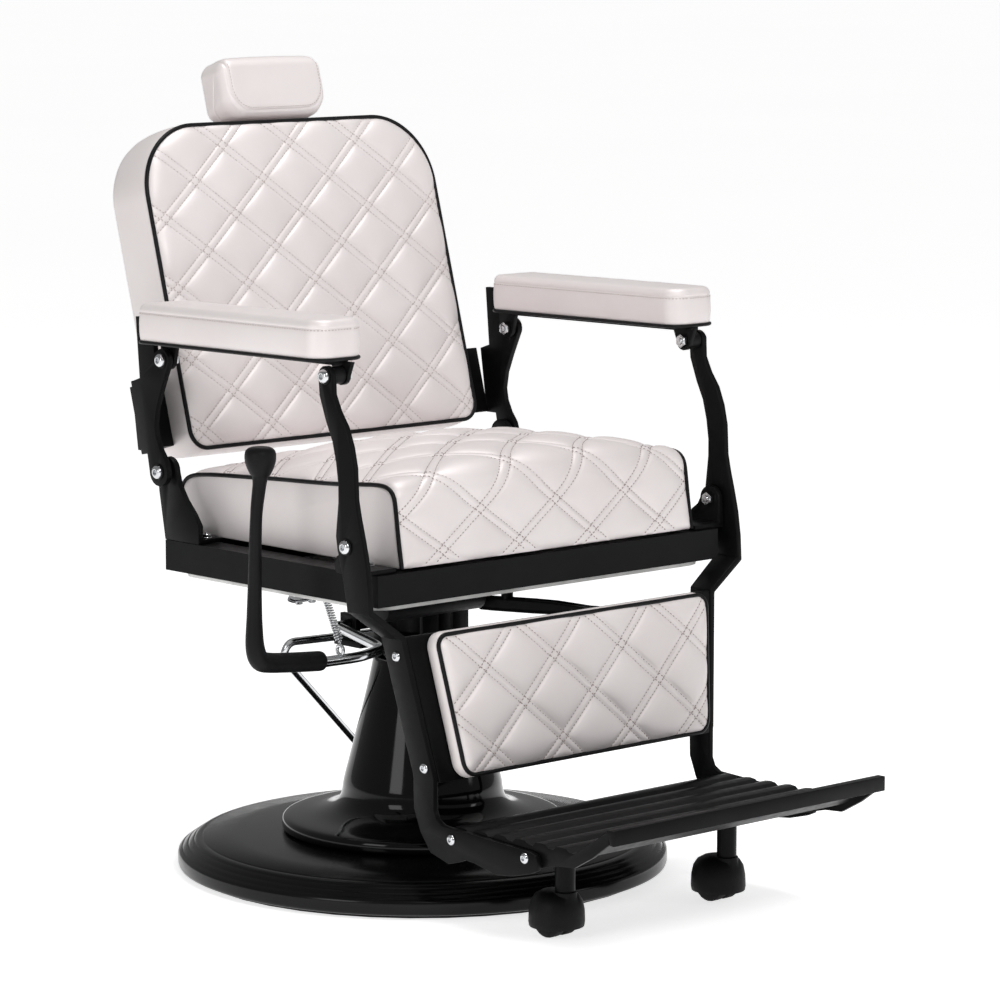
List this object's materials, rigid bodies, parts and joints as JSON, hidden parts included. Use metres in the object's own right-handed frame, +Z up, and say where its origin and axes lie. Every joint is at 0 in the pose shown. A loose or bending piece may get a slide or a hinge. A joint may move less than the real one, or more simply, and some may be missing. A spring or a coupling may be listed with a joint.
{
  "type": "hydraulic barber chair",
  "caption": "Reclining padded barber chair on a round base with a pump lever, linked armrests and legrest, a ribbed footrest and casters.",
  "frame": {"origin": "on the floor, on the axis of the column", "axes": "+Z up; the sitter faces -Y; +X is the sitter's left"},
  "size_m": [0.725, 1.0165, 1.0745],
  "materials": {
    "black_steel": "satin powder coat",
    "gloss_black": "gloss enamel",
    "chrome": "polished",
    "leather": "pearl leatherette",
    "black_plastic": "matte",
    "rubber": "matte",
    "white_board": "matte"
  },
  "bodies": {
    "base": {"base_plate": "black_steel", "base_disc": "gloss_black", "column_cover": "gloss_black", "pump_cylinder": "black_steel"},
    "piston": {"piston_rod": "chrome"},
    "seat_frame": {"pump_head": "black_steel", "seat_rail_left": "black_steel", "seat_rail_right": "black_steel", "seat_rail_front": "black_steel", "seat_rail_rear": "black_steel", "underside_panel": "white_board", "seat_mount": "black_steel", "seat_cushion": "leather", "rear_bracket_left": "black_steel", "rear_bracket_right": "black_steel", "front_bracket_left": "black_steel", "front_bracket_right": "black_steel", "back_pivot_bolt_left": "chrome", "back_pivot_bolt_right": "chrome", "leg_pivot_bolt_left": "chrome", "leg_pivot_bolt_right": "chrome", "recline_cylinder": "black_plastic", "cylinder_hanger": "black_steel"},
    "recline_handle": {"recline_lever": "black_steel"},
    "pump_lever": {"pump_lever_frame": "chrome", "hand_lever": "black_plastic", "pedal_pad": "rubber", "return_spring": "chrome"},
    "backrest": {"back_plate_left": "black_steel", "back_plate_right": "black_steel", "back_band": "black_steel", "back_cushion": "leather", "headrest_socket": "black_steel", "arm_rear_bolt_left": "chrome", "arm_rear_bolt_right": "chrome"},
    "headrest": {"headrest_post": "chrome", "headrest_pad": "leather"},
    "arm_left": {"arm_pad_left": "leather", "arm_bracket_left": "black_steel"},
    "arm_right": {"arm_pad_right": "leather", "arm_bracket_right": "black_steel"},
    "legrest": {"front_link_left": "black_steel", "front_link_right": "black_steel", "legrest_panel": "black_steel", "legrest_cushion": "leather", "footrest": "black_steel", "footrest_rear_bar": "black_steel", "caster_stem_left": "black_steel", "caster_stem_right": "black_steel", "arm_front_bolt_left": "chrome", "arm_front_bolt_right": "chrome"},
    "caster_left": {"caster_hood_left": "black_plastic"},
    "caster_right": {"caster_hood_right": "black_plastic"},
    "wheel_left": {"caster_wheel_left": "rubber"},
    "wheel_right": {"caster_wheel_right": "rubber"}
  },
  "joints": [
    {"name": "seat_lift", "type": "slide", "parent": "base", "child": "piston", "axis": [0, 0, 1], "range_m": [0, 0.15]},
    {"name": "seat_swivel", "type": "hinge", "parent": "piston", "child": "seat_frame", "pos_m": [0, 0, 0.3], "axis": [0, 0, 1], "continuous": true},
    {"name": "back_recline", "type": "hinge", "parent": "seat_frame", "child": "backrest", "pos_m": [0, 0.165, 0.547], "axis": [-1, 0, 0], "range_deg": [0, 38]},
    {"name": "headrest_height", "type": "slide", "parent": "backrest", "child": "headrest", "axis": [0, 0.2672, 0.9636], "range_m": [0, 0.1]},
    {"name": "arm_left_fold", "type": "hinge", "parent": "backrest", "child": "arm_left", "pos_m": [-0.315, 0.157, 0.695], "axis": [-1, 0, 0], "range_deg": [-42, 0]},
    {"name": "arm_right_fold", "type": "hinge", "parent": "backrest", "child": "arm_right", "pos_m": [0.315, 0.157, 0.695], "axis": [-1, 0, 0], "range_deg": [-42, 0]},
    {"name": "legrest_swing", "type": "hinge", "parent": "seat_frame", "child": "legrest", "pos_m": [0, -0.231, 0.493], "axis": [-1, 0, 0], "range_deg": [0, 28]},
    {"name": "pump_lever_swing", "type": "hinge", "parent": "seat_frame", "child": "pump_lever", "pos_m": [0, 0.062, 0.328], "axis": [-1, 0, 0], "range_deg": [0, 10], "stiffness_Nm_per_rad": 40, "springref_deg": -6.88, "deforming": ["return_spring"]},
    {"name": "recline_release", "type": "hinge", "parent": "seat_frame", "child": "recline_handle", "pos_m": [0.046, -0.118, 0.365], "axis": [0, 0, 1], "range_deg": [0, 9], "stiffness_Nm_per_rad": 1.5, "springref_deg": -5.73},
    {"name": "caster_left_swivel", "type": "hinge", "parent": "legrest", "child": "caster_left", "pos_m": [-0.145, -0.431, 0.06], "axis": [0, 0, 1], "continuous": true},
    {"name": "caster_right_swivel", "type": "hinge", "parent": "legrest", "child": "caster_right", "pos_m": [0.145, -0.431, 0.06], "axis": [0, 0, 1], "continuous": true},
    {"name": "wheel_left_roll", "type": "hinge", "parent": "caster_left", "child": "wheel_left", "pos_m": [-0.145, -0.414, 0.025], "axis": [1, 0, 0], "continuous": true},
    {"name": "wheel_right_roll", "type": "hinge", "parent": "caster_right", "child": "wheel_right", "pos_m": [0.145, -0.414, 0.025], "axis": [1, 0, 0], "continuous": true}
  ],
  "couplings": [
    {"joint": "legrest_swing", "follows": "back_recline", "ratio": 0.7212},
    {"joint": "arm_left_fold", "follows": "back_recline", "ratio": -1.0723},
    {"joint": "arm_right_fold", "follows": "back_recline", "ratio": -1.0723}
  ]
}
